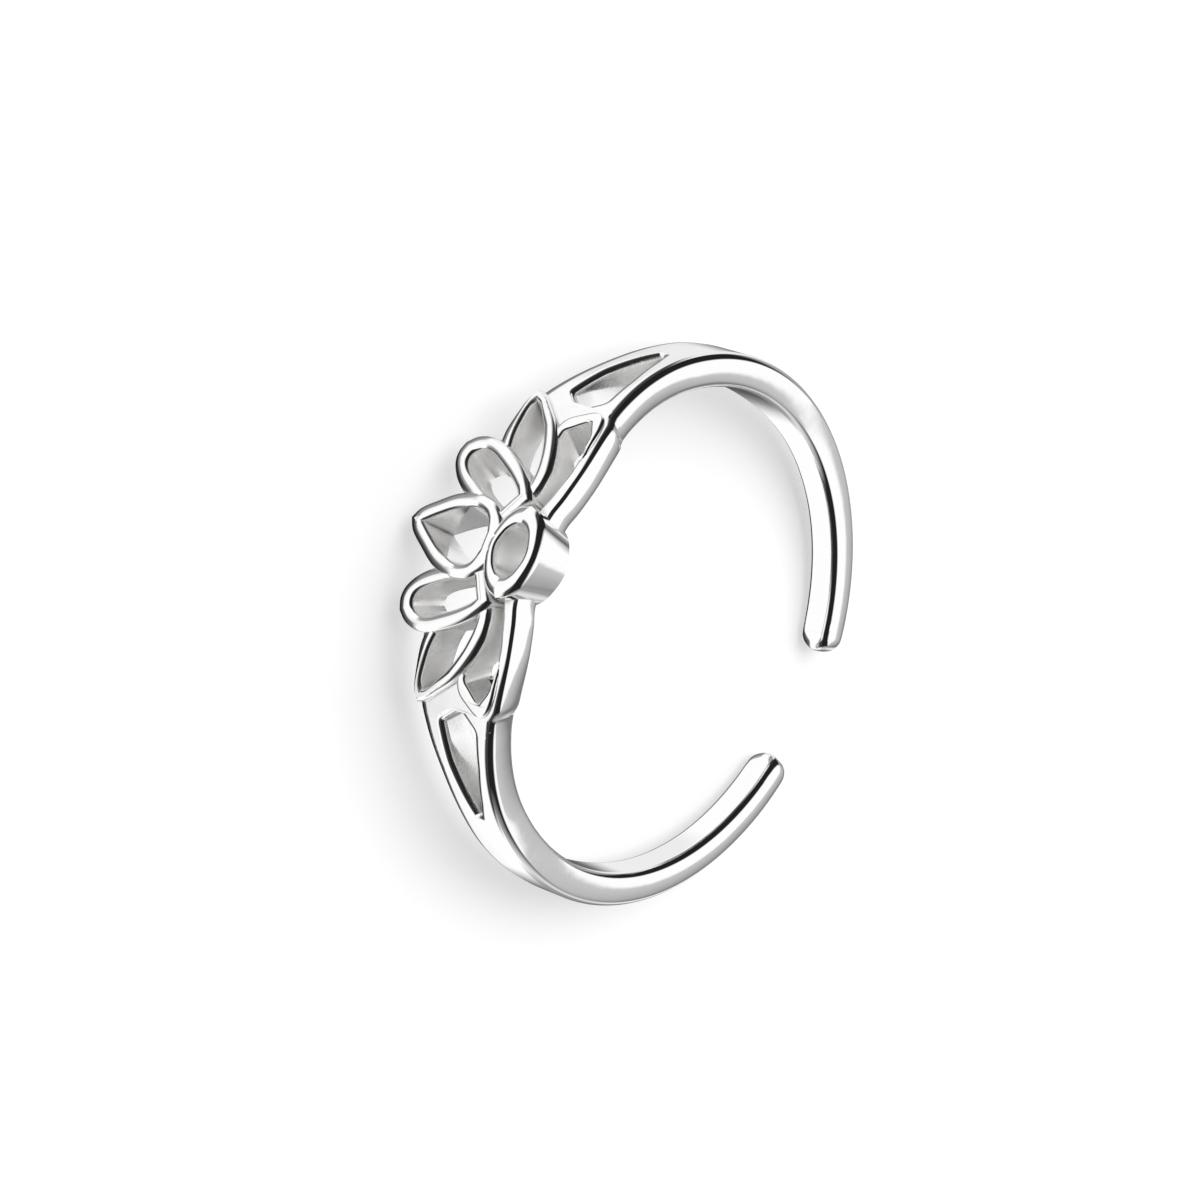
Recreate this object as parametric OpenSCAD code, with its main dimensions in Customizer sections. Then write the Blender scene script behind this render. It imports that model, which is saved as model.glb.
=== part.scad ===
// Open toe ring with a pierced lotus, one casting, lying on its side.
// Angles are measured round the ring's axis from the lotus, heights along that axis from the middle of the
// band: up is the side that the lotus's foot is on, down is the side that its petals point to.

/* [Band] */
// Radius of the toe hole
hole_r = 7.45; // [6.5:0.05:9]
// Thickness of the band, from the toe hole outwards
band_t = 1.05; // [0.8:0.05:1.5]
// Width of the band at its open ends
band_w = 1; // [0.8:0.05:1.4]
// Angle of the opening between the two ends
gap_angle = 26.5; // [15:0.5:50]
// Angle by which the opening lies off the spot opposite the lotus
gap_shift = 2.2; // [0:0.1:4]

/* [Rails] */
// Height of the near rail's crest beside the bud
near_rail_h = 1.28; // [1:0.02:1.6]
// Depth of the far rail where it meets the petals
far_rail_h = 2.2; // [1.8:0.02:2.5]
// Angle of the knee, where the near rail steps up beside the lotus
knee_angle = 33; // [31:0.5:36]
// Angle of the fork, where the two rails part
fork_angle = 58; // [52:0.5:66]
// How far the back of the pierced front stands clear of the toe hole
back_relief = 0.05; // [0.02:0.01:0.1]

/* [Lotus] */
// Height of the bud's upper edge
bud_h = 1.55; // [1.4:0.02:1.8]
// Length of the bud, round the ring
bud_l = 2.9; // [2.4:0.05:3.2]
// Width of the bud, along the ring's axis
bud_w = 1.8; // [1.5:0.05:2]
// Relief of the bud above the rails
bud_rise = 0.5; // [0.3:0.02:0.8]
// Depth of the centre petal's tip
petal_depth = 3.26; // [2.9:0.02:3.6]
// Width of the centre petal
petal_w = 2.5; // [2.1:0.05:2.8]
// Relief of the centre petal above the rails
petal_rise = 0.5; // [0.3:0.02:0.8]
// Depth of the inner side petals' tips
inner_depth = 2.8; // [2.5:0.02:3.1]
// Angle of the inner side petals' tips
inner_angle = 17.2; // [15:0.2:18]
// Width of an inner side petal
inner_w = 1.8; // [1.5:0.05:2]
// Relief of the inner side petals above the rails
inner_rise = 0.4; // [0.2:0.02:0.7]
// Depth of the outer side petals' tips
outer_depth = 1.97; // [1.7:0.02:2.1]
// Angle of the outer side petals' tips
outer_angle = 34; // [32:0.5:35]
// Width of an outer side petal
outer_w = 1.9; // [1.6:0.05:2.1]
// Relief of the outer side petals above the rails
outer_rise = 0.25; // [0.1:0.02:0.5]
// Relief of the struts at the knees above the rails
strut_rise = 0.12; // [0.04:0.02:0.2]
// Width of the rim round each petal's window
rim_w = 0.38; // [0.3:0.01:0.45]

/* [Hidden] */
$fn = 96;

rail_r = hole_r + band_t;
// Angles at which the band's two rounded ends have their middles, one each way round from the lotus
end_half = 180 - gap_angle / 2 - asin(band_w / 2 / rail_r);
right_end = end_half - gap_shift;
left_end = end_half + gap_shift;
// Radii well clear of the metal, between which the cutting shapes run
core = hole_r * 0.75;
reach = rail_r * 1.35;

// Where the petals' feet lie: a height as a share of the bud's, and an angle from the lotus
centre_foot = 0.06;
inner_foot = [7, 0.16];
outer_foot = [9.5, 0.03];

// The ring rests on its far side, on the back of the centre petal's tip and on its ends
tip_y = -rail_r - petal_rise;
tip_back_y = -hole_r - back_relief;
end_y = -rail_r * cos(left_end);
rest_tilt = atan((petal_depth - band_w / 2) / (end_y - tip_back_y));
lift = petal_depth * cos(rest_tilt) + tip_back_y * sin(rest_tilt);
front_y = tip_y * cos(rest_tilt) - petal_depth * sin(rest_tilt);
back_y = end_y * cos(rest_tilt) + band_w / 2 * sin(rest_tilt);

// Columns of the tables: a place, and a height or half width as a share
A = 0;
H = 1;

// Near edge of the band and rail, by angle. Share 0 is the band's own edge, share 1 the near rail's crest.
NEAR_EDGE = [
    [0, 0.72], [9, 0.76], [13, 0.92], [18, 1], [22, 0.97], [27, 0.84], [knee_angle - 2, 0.68],
    [knee_angle, 0.48], [40, 0.27], [50, 0.08], [60, 0], [180, 0]];

// Far edge of the rail and band, by angle. Share 0 is the band's own edge, share 1 the far rail's depth.
FAR_EDGE = [
    [0, 0.95], [28, 1], [34, 0.96], [40, 0.85], [50, 0.66], [60, 0.57], [70, 0.54], [90, 0.36],
    [110, 0.12], [130, 0.03], [150, 0], [180, 0]];

// Half width along a petal from foot to tip: the pointed petals, the round-tipped ones, and the pointed
// petals' windows
PETAL = [[0, 0.45], [0.08, 0.72], [0.2, 0.92], [0.38, 1], [0.6, 0.87], [0.8, 0.54], [0.94, 0.26], [1, 0]];
ROUND_PETAL = [[0, 0.3], [0.1, 0.62], [0.25, 0.88], [0.45, 1], [0.7, 0.93], [0.88, 0.66], [0.97, 0.33], [1, 0]];
WINDOW = [[0, 0.25], [0.06, 0.68], [0.18, 0.94], [0.34, 1], [0.56, 0.8], [0.8, 0.4], [1, 0]];

// Half width along the bud, from one end to the other
ALMOND = [[0, 0], [0.05, 0.38], [0.2, 0.75], [0.5, 1], [0.8, 0.75], [0.95, 0.38], [1, 0]];

// Corners of the gap between the rails: place from the knee to the fork, and height as a share of far_rail_h
RAIL_GAP = [[0.14, 0.05], [0, -0.2], [0.14, -0.5], [0.5, -0.41], [0.86, -0.25], [1, -0.18], [0.8, -0.08],
    [0.45, 0.02]];

// Corners of the gap above an outer petal: angle as a share of the knee's, and height as a share of near_rail_h
SIDE_GAP = [[0.36, 0.26], [0.55, 0.02], [0.8, -0.12], [0.91, 0.3], [0.8, 0.6], [0.67, 0.69], [0.54, 0.71],
    [0.38, 0.61], [0.24, 0.45]];

// Corners of the strut that closes that gap at the knee, in the same shares
STRUT = [[0.7, -0.36], [0.88, -0.34], [1, 0.28], [0.96, 0.58], [0.84, 0.76], [0.72, 0.74]];

// Slope of a table at row i
function slope(table, i) =
    let (lo = max(i - 1, 0), hi = min(i + 1, len(table) - 1))
    (table[hi][H] - table[lo][H]) / (table[hi][A] - table[lo][A]);

// Last row of a table that starts at or before a place
function row_at(table, place, i = 0) =
    i >= len(table) - 2 || place < table[i + 1][A] ? i : row_at(table, place, i + 1);

// Smooth curve through a table's rows
function smooth(table, place) =
    let (i = row_at(table, place), span = table[i + 1][A] - table[i][A],
         t = (place - table[i][A]) / span, t2 = t * t, t3 = t2 * t)
    (2 * t3 - 3 * t2 + 1) * table[i][H] + (t3 - 2 * t2 + t) * span * slope(table, i)
    + (3 * t2 - 2 * t3) * table[i + 1][H] + (t3 - t2) * span * slope(table, i + 1);

function near_edge(a) = band_w / 2 + smooth(NEAR_EDGE, abs(a)) * (near_rail_h - band_w / 2);
function far_edge(a) = -band_w / 2 - smooth(FAR_EDGE, abs(a)) * (far_rail_h - band_w / 2);

// Angles of the sections that the band and rails are built through, close together at the lotus
HALF_STEPS = concat([for (a = [1:1.5:40]) a], [for (a = [43:4:140]) a]);
STEPS = concat([-left_end], [for (i = [len(HALF_STEPS) - 1:-1:0]) -HALF_STEPS[i]], HALF_STEPS, [right_end]);

// Point at an angle from the lotus, a radius and a height
function at(a, r, z) = [r * sin(a), -r * cos(a), z];

// Flat point, seen square on at angle c, of a place on the ring at angle a, radius r and height z
function flat(a, r, z, c) = [r * sin(a - c), z];

// Places along an outline, from 0 to 1 and close together at both ends
PLACES = [for (t = [0:12:180]) (1 - cos(t)) / 2];

// Outline from foot to tip, with half widths from a table
function outline(foot, tip, width, table) =
    let (along = tip - foot, across = [-along.y, along.x] / norm(along) * width / 2)
    concat([for (p = PLACES) foot + along * p + across * smooth(table, p)],
        [for (p = PLACES) tip - along * p - across * smooth(table, 1 - p)]);

// Foot or tip moved in by a length, for the window inside a rim
function inwards(from, to, length) = from + (to - from) * length / norm(to - from);

// Block between the near and far edges, whose inner and outer walls are cut later
module edge_block() {
    n = len(STEPS);
    points = [for (a = STEPS) each [
        at(a, core, far_edge(a)), at(a, reach, far_edge(a)),
        at(a, reach, near_edge(a)), at(a, core, near_edge(a))]];
    walls = [for (i = [0:n - 2], k = [0:3]) each [
        [4 * i + k, 4 * i + (k + 1) % 4, 4 * i + 4 + k],
        [4 * i + (k + 1) % 4, 4 * i + 4 + (k + 1) % 4, 4 * i + 4 + k]]];
    polyhedron(points, concat([[3, 2, 1, 0]], walls, [[for (k = [0:3]) 4 * (n - 1) + k]]));
}

// Tube from the toe hole out to a radius, taller than anything on the ring
module tube(r) {
    difference() {
        cylinder(h = 3 * petal_depth, r = r, center = true, $fn = 180);
        cylinder(h = 4 * petal_depth, r = hole_r, center = true, $fn = 180);
    }
}

// Extrudes a front view outwards at an angle from the lotus
module facing(a) {
    rotate([0, 0, a]) rotate([90, 0, 0]) linear_extrude(height = reach) children();
}

// Its children, and their mirror image on the lotus's other side
module both_sides() {
    children();
    mirror([1, 0, 0]) children();
}

// Band and rails without their gaps
module band() {
    intersection() {
        tube(rail_r);
        union() {
            edge_block();
            facing(right_end) circle(d = band_w);
            facing(-left_end) circle(d = band_w);
        }
    }
}

// Gap cut through between the near rail and the far rail
module rail_gap() {
    c = (knee_angle + fork_angle) / 2;
    facing(c) polygon([for (p = RAIL_GAP)
        flat(knee_angle + p[A] * (fork_angle - knee_angle), rail_r, p[H] * far_rail_h, c)]);
}

// Front view of corners between the lotus's middle and its knee
module knee_view(corners) {
    c = knee_angle / 2;
    facing(c) polygon([for (p = corners) flat(knee_angle * p[A], rail_r, p[H] * near_rail_h, c)]);
}

// Front view of a petal seen square on at angle c, or of the window inside it where rim is more than 0
module petal_view(foot, tip, width, table, rim, c) {
    facing(c) polygon(outline(
        inwards(foot, tip, rim), inwards(tip, foot, rim * 1.2), width - 2 * rim, table));
}

module bud_view(rim = 0) {
    foot = [-bud_l / 2, bud_h - bud_w / 2 - rim / 4];
    petal_view(foot, [-foot.x, foot.y], bud_w, ALMOND, rim, 0);
}

module centre_view(rim = 0) {
    petal_view([0, bud_h * centre_foot], [0, -petal_depth], petal_w, rim > 0 ? WINDOW : PETAL, rim, 0);
}

module inner_view(rim = 0) {
    r = rail_r + inner_rise;
    c = inner_angle / 2;
    foot = flat(inner_foot[A], r, inner_foot[H] * bud_h, c);
    petal_view(foot, flat(inner_angle, r, -inner_depth, c), inner_w, ROUND_PETAL, rim, c);
}

module outer_view(rim = 0) {
    r = rail_r + outer_rise;
    c = outer_angle / 2;
    foot = flat(outer_foot[A], r, outer_foot[H] * bud_h, c);
    petal_view(foot, flat(outer_angle, r, -outer_depth, c), outer_w, PETAL, rim, c);
}

// Petals and bud as solid bosses, each as proud as its relief
module bosses() {
    intersection() {
        tube(rail_r + bud_rise);
        bud_view();
    }
    intersection() {
        tube(rail_r + petal_rise);
        centre_view();
    }
    both_sides() {
        intersection() {
            tube(rail_r + inner_rise);
            inner_view();
        }
        intersection() {
            tube(rail_r + outer_rise);
            outer_view();
        }
        intersection() {
            tube(rail_r + strut_rise);
            knee_view(STRUT);
        }
    }
}

// Everything cut through: each window stops at the petal that lies over it
module windows() {
    bud_view(rim_w);
    difference() {
        centre_view(rim_w);
        bud_view();
    }
    both_sides() {
        difference() {
            inner_view(rim_w);
            centre_view();
            bud_view();
        }
        difference() {
            outer_view(rim_w);
            inner_view();
            bud_view();
        }
        difference() {
            knee_view(SIDE_GAP);
            outer_view();
            bud_view();
        }
        difference() {
            rail_gap();
            outer_view();
        }
    }
}

// Shallow relief over the back of the pierced front, from fork to fork
module front_back() {
    far = reach / cos(fork_angle);
    intersection() {
        cylinder(h = 3 * petal_depth, r = hole_r + back_relief, center = true, $fn = 180);
        linear_extrude(height = 2 * petal_depth + 2 * bud_h, center = true) polygon([
            [0, 0], [-far * sin(fork_angle), -reach], [far * sin(fork_angle), -reach]]);
    }
}

module toe_ring() {
    color("silver") translate([0, -(front_y + back_y) / 2, lift]) rotate([-rest_tilt, 0, 0]) {
        difference() {
            union() {
                band();
                bosses();
            }
            windows();
            front_back();
        }
    }
}

toe_ring();
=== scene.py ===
"""Looks for an open silver toe ring with a pierced lotus, lying on its side on a pale floor.

The ring is one casting. It is modelled flat, as if it were unrolled from its toe hole, in millimetres: x runs
round the ring from the lotus, y along the ring's axis and z outwards from the wall of the hole. Then it is
bent round the hole and laid on the floor as it rests by itself. Angles are in degrees unless a comment says otherwise.
"""

from __future__ import annotations

import logging
import math
from dataclasses import dataclass, field
from enum import Enum
from typing import Iterable, Sequence

import bmesh
import bpy
from mathutils import Matrix, Vector

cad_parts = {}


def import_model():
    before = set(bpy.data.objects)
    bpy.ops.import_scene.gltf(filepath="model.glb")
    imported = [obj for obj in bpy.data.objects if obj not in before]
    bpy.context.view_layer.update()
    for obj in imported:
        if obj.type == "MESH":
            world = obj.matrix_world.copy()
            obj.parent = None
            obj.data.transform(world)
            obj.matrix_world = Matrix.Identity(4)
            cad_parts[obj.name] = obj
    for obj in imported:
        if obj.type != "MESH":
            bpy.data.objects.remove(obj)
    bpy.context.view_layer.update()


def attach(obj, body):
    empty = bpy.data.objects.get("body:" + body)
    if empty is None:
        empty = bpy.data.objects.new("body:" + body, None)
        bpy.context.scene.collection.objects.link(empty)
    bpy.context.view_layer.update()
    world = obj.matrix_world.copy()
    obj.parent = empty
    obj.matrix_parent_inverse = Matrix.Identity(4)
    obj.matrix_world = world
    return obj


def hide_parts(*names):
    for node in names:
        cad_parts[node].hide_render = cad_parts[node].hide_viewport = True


LOG = logging.getLogger("toe_ring")
# Metres in a millimetre
MM = 0.001
# Millimetres that count as nothing
TINY = 1e-4

Point = tuple[float, float]
Rows = tuple[Point, ...]
Edges = list[bmesh.types.BMEdge]
Faces = list[bmesh.types.BMFace]


class Side(Enum):
    """Which way round the ring a mirrored detail lies from the lotus."""

    RIGHT = 1
    LEFT = -1


@dataclass(frozen=True)
class Profile:
    """Smooth curve through a few rows of place and share."""

    rows: Rows

    def slope(self, i: int) -> float:
        """Returns the slope at row i."""
        low, high = self.rows[max(i - 1, 0)], self.rows[min(i + 1, len(self.rows) - 1)]
        return (high[1] - low[1]) / (high[0] - low[0])

    def at(self, place: float) -> float:
        """Returns the share at a place.

        Args:
            place: where along the rows, in the rows' own unit.

        Returns:
            The share there, on a smooth curve through the rows.
        """
        i = 0
        while i < len(self.rows) - 2 and place >= self.rows[i + 1][0]:
            i += 1
        (x0, y0), (x1, y1) = self.rows[i], self.rows[i + 1]
        t = (place - x0) / (x1 - x0)
        t2, t3 = t * t, t * t * t
        rise = (t3 - 2 * t2 + t) * self.slope(i) + (t3 - t2) * self.slope(i + 1)
        return (2 * t3 - 3 * t2 + 1) * y0 + (3 * t2 - 2 * t3) * y1 + rise * (x1 - x0)


# Half width along a petal or a window from foot to tip, as shares of its greatest half width
PETAL = Profile(((0, 0.45), (0.08, 0.72), (0.2, 0.92), (0.38, 1), (0.6, 0.87), (0.8, 0.54), (0.94, 0.26), (1, 0)))
ROUND_PETAL = Profile(
    ((0, 0.55), (0.1, 0.76), (0.25, 0.93), (0.45, 1), (0.7, 0.95), (0.88, 0.7), (0.97, 0.36), (1, 0)))
BLUNT_WINDOW = Profile(
    ((0, 0.7), (0.1, 0.86), (0.3, 0.98), (0.55, 1), (0.78, 0.94), (0.92, 0.7), (0.98, 0.36), (1, 0)))
WINDOW = Profile(((0, 0.25), (0.06, 0.68), (0.18, 0.94), (0.34, 1), (0.56, 0.8), (0.8, 0.4), (1, 0)))
ALMOND = Profile(((0, 0), (0.05, 0.38), (0.2, 0.75), (0.5, 1), (0.8, 0.75), (0.95, 0.38), (1, 0)))


def clamp(value: float) -> float:
    """Returns a value kept between 0 and 1."""
    return min(max(value, 0), 1)


def even_steps(points: Sequence[Vector], count: int) -> list[Vector]:
    """Spaces points evenly along an open line.

    Args:
        points: the line's points.
        count: how many steps to divide it into.

    Returns:
        count + 1 points, with both ends kept.
    """
    lengths = [0.0]
    for a, b in zip(points, points[1:]):
        lengths.append(lengths[-1] + (b - a).length)
    spaced, k = [], 0
    for j in range(count + 1):
        target = lengths[-1] * j / count
        while k < len(points) - 2 and lengths[k + 1] < target:
            k += 1
        span = max(lengths[k + 1] - lengths[k], TINY)
        spaced.append(points[k].lerp(points[k + 1], clamp((target - lengths[k]) / span)))
    return spaced


def anticlockwise(points: list[Vector]) -> list[Vector]:
    """Returns an outline's points in anticlockwise order."""
    area = sum(a.x * b.y - b.x * a.y for a, b in zip(points, points[1:] + points[:1]))
    return points if area > 0 else points[::-1]


def rounded(corners: Sequence[Vector], reach: float, steps: int = 5) -> list[Vector]:
    """Rounds the corners of an outline.

    Args:
        corners: the outline's corners.
        reach: how far from a corner its curve starts, at most.
        steps: steps along each curve.

    Returns:
        The outline with a short curve at each corner, anticlockwise.
    """
    most = 0.4  # share of a side that a curve takes up at most
    out = []
    for i, corner in enumerate(corners):
        before, after = corners[i - 1] - corner, corners[(i + 1) % len(corners)] - corner
        start = corner + before.normalized() * min(reach, before.length * most)
        end = corner + after.normalized() * min(reach, after.length * most)
        for k in range(steps + 1):
            t = k / steps
            out.append(start * (1 - t) ** 2 + corner * 2 * t * (1 - t) + end * t * t)
    return anticlockwise(out)


class Flat:
    """Mesh steps shared by every detail that is modelled flat."""

    @staticmethod
    def loop(bm: bmesh.types.BMesh, points: Sequence[Vector], height: float, filled: bool) -> Edges:
        """Makes a circle and moves its corners on to an outline.

        Args:
            bm: the mesh that takes it.
            points: the outline, anticlockwise.
            height: z of the outline.
            filled: True for a face inside it.

        Returns:
            The outline's edges.
        """
        made = bmesh.ops.create_circle(bm, cap_ends=filled, segments=len(points), radius=1)["verts"]
        for vert, point in zip(made, points):
            vert.co = (point.x, point.y, height)
        inside = set(made)
        return [e for e in bm.edges if e.verts[0] in inside and e.verts[1] in inside]

    @staticmethod
    def raise_faces(bm: bmesh.types.BMesh, height: float) -> None:
        """Extrudes every face of a flat mesh upwards.

        Args:
            bm: the mesh.
            height: how far.
        """
        made = bmesh.ops.extrude_face_region(bm, geom=bm.faces[:])["geom"]
        verts = [g for g in made if isinstance(g, bmesh.types.BMVert)]
        bmesh.ops.translate(bm, verts=verts, vec=(0, 0, height))
        bmesh.ops.recalc_face_normals(bm, faces=bm.faces[:])

    @staticmethod
    def rim_edges(bm: bmesh.types.BMesh, height: float) -> Edges:
        """Finds the edges between a level face and a wall.

        Args:
            bm: the mesh.
            height: z of the level face.

        Returns:
            The edges.
        """
        steepest = 0.5  # most upward share of a wall's normal
        return [
            e for e in bm.edges
            if all(abs(v.co.z - height) < TINY for v in e.verts)
            and any(abs(f.normal.z) < steepest for f in e.link_faces)
        ]

    @staticmethod
    def soften(bm: bmesh.types.BMesh, edges: Edges, width: float, segments: int) -> None:
        """Rounds edges.

        Args:
            bm: the mesh.
            edges: the edges to round.
            width: radius of the rounding.
            segments: steps across it.
        """
        bmesh.ops.bevel(
            bm, geom=edges, affect="EDGES", offset=width, offset_type="OFFSET", segments=segments,
            profile=0.5, material=-1, clamp_overlap=False, loop_slide=True)

    @staticmethod
    def round_by_weight(body: bpy.types.Object, width: float, segments: int) -> None:
        """Rounds an object's weighted edges.

        Args:
            body: the object.
            width: radius at a weight of 1.
            segments: steps across the roundings.
        """
        step = body.modifiers.new("round", "BEVEL")
        step.limit_method, step.width, step.segments = "WEIGHT", width, segments
        step.use_clamp_overlap, step.profile = False, 0.5
        Flat.applied(body)

    @staticmethod
    def cut_across(bm: bmesh.types.BMesh, faces: Faces, place: Vector, way: Vector) -> Faces:
        """Cuts faces along a plane.

        Args:
            bm: the mesh.
            faces: the faces to cut.
            place: a place on the plane.
            way: the direction that the plane faces.

        Returns:
            The faces that lie on the plane's two sides.
        """
        geom = list(dict.fromkeys(g for face in faces for g in (*face.verts, *face.edges, face)))
        made = bmesh.ops.bisect_plane(bm, geom=geom, plane_co=place, plane_no=way, dist=TINY)["geom"]
        return [g for g in made if isinstance(g, bmesh.types.BMFace)]

    @staticmethod
    def prism(points: Sequence[Vector], low: float, high: float) -> bmesh.types.BMesh:
        """Makes a straight block over an outline.

        Args:
            points: the outline, anticlockwise.
            low: z of its bottom.
            high: z of its top.

        Returns:
            The block.
        """
        bm = bmesh.new()
        Flat.loop(bm, points, low, True)
        Flat.raise_faces(bm, high - low)
        return bm

    @staticmethod
    def to_object(bm: bmesh.types.BMesh, name: str) -> bpy.types.Object:
        """Turns a mesh being built into an object, and frees it.

        Args:
            bm: the mesh.
            name: the object's name.

        Returns:
            The object, in the scene.
        """
        mesh = bpy.data.meshes.new(name)
        bm.to_mesh(mesh)
        bm.free()
        obj = bpy.data.objects.new(name, mesh)
        bpy.context.scene.collection.objects.link(obj)
        return obj

    @staticmethod
    def applied(obj: bpy.types.Object) -> None:
        """Applies an object's modifiers to its mesh.

        Args:
            obj: the object.
        """
        bpy.context.view_layer.update()
        seen = obj.evaluated_get(bpy.context.evaluated_depsgraph_get())
        mesh = bpy.data.meshes.new_from_object(seen)
        obj.modifiers.clear()
        old, obj.data = obj.data, mesh
        bpy.data.meshes.remove(old)

    @staticmethod
    def combine(body: bpy.types.Object, tools: Iterable[bmesh.types.BMesh], operation: str) -> None:
        """Adds tools to a body or cuts them out of it.

        Args:
            body: the object that changes.
            tools: blocks that don't touch each other.
            operation: UNION or DIFFERENCE.
        """
        joined = bmesh.new()
        for tool in tools:
            part = bpy.data.meshes.new("tool")
            tool.to_mesh(part)
            tool.free()
            joined.from_mesh(part)
            bpy.data.meshes.remove(part)
        cutter = Flat.to_object(joined, "cutter")
        step = body.modifiers.new("combine", "BOOLEAN")
        step.operation, step.solver, step.object = operation, "MANIFOLD", cutter
        Flat.applied(body)
        mesh = cutter.data
        bpy.data.objects.remove(cutter)
        bpy.data.meshes.remove(mesh)


@dataclass
class Ring:
    """The ring's main sizes, and where a flat point lies on it."""

    hole_r: float = 7.45
    band_t: float = 1.05
    band_w: float = 1.0
    gap_angle: float = 26.5
    gap_shift: float = 2.2
    rest_tilt: float = 9.9505
    centre_y: float = 0.6166
    centre_z: float = 1.915
    slice_angle: float = 1.25
    # Share of a slice that a face is wide enough to be cut from
    slice_share: float = 0.9

    @property
    def rail_r(self) -> float:
        """Outer radius of the band and rails."""
        return self.hole_r + self.band_t

    def ends(self) -> tuple[float, float]:
        """Returns the angles of the middles of the left and right rounded ends."""
        half = 180 - self.gap_angle / 2 - math.degrees(math.asin(self.band_w / 2 / self.rail_r))
        return -(half + self.gap_shift), half - self.gap_shift

    def flat(self, angle: float, height: float) -> Vector:
        """Returns the flat point for an angle from the lotus and a height along the axis."""
        return Vector((math.radians(angle) * self.rail_r, height))

    def angle(self, place: Vector) -> float:
        """Returns the angle from the lotus of a flat place."""
        return math.degrees(place.x / self.rail_r)

    def tilt(self) -> Matrix:
        """Returns the matrix that lays the ring down as it rests, in millimetres."""
        lean = Matrix.Rotation(math.radians(-self.rest_tilt), 4, "X")
        return Matrix.Translation((0, self.centre_y, self.centre_z)) @ lean

    def bent(self, normal: Vector, place: Vector) -> Vector:
        """Turns a flat normal as the mesh is bent and laid down.

        Args:
            normal: the normal on the flat mesh.
            place: where it stands on it.

        Returns:
            The direction that it takes.
        """
        angle, radius = place.x / self.rail_r, self.hole_r + place.z
        across, out = normal.x * self.rail_r / radius, normal.z
        turned = Vector((
            across * math.cos(angle) + out * math.sin(angle), across * math.sin(angle) - out * math.cos(angle),
            normal.y))
        return (self.tilt().to_3x3() @ turned).normalized()

    def bend(self, bm: bmesh.types.BMesh) -> None:
        """Bends a flat mesh round the toe hole, lays it down and brings it to metres.

        Args:
            bm: the mesh.
        """
        for vert in bm.verts:
            angle, radius = vert.co.x / self.rail_r, self.hole_r + vert.co.z
            vert.co = (radius * math.sin(angle), -radius * math.cos(angle), vert.co.y)
        bmesh.ops.transform(bm, matrix=Matrix.Scale(MM, 4) @ self.tilt(), verts=bm.verts[:])

    def slice(self, bm: bmesh.types.BMesh) -> None:
        """Cuts the long faces across, so that they bend smoothly round the hole.

        Args:
            bm: the flat mesh.
        """
        step = math.radians(self.slice_angle) * self.rail_r
        count = int(math.pi * self.rail_r / step) + 1
        wide = self.wide_faces(bm.faces, step)
        for x in (k * step for k in range(-count, count + 1)):
            crossed = [row for row in wide if row[1] < x - TINY and row[2] > x + TINY]
            if not crossed:
                continue
            wide = [row for row in wide if row not in crossed]
            faces = [face for face, _, _ in crossed]
            wide += self.wide_faces(Flat.cut_across(bm, faces, Vector((x, 0, 0)), Vector((1, 0, 0))), step)
        bmesh.ops.recalc_face_normals(bm, faces=bm.faces[:])

    def wide_faces(self, faces: Iterable[bmesh.types.BMFace], step: float
                   ) -> list[tuple[bmesh.types.BMFace, float, float]]:
        """Finds the faces that are nearly a slice wide or more.

        Args:
            faces: the faces to look through.
            step: width of a slice.

        Returns:
            The faces, each with its lowest and highest x.
        """
        rows = []
        for face in faces:
            xs = [vert.co.x for vert in face.verts]
            if max(xs) - min(xs) > step * self.slice_share:
                rows.append((face, min(xs), max(xs)))
        return rows


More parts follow.
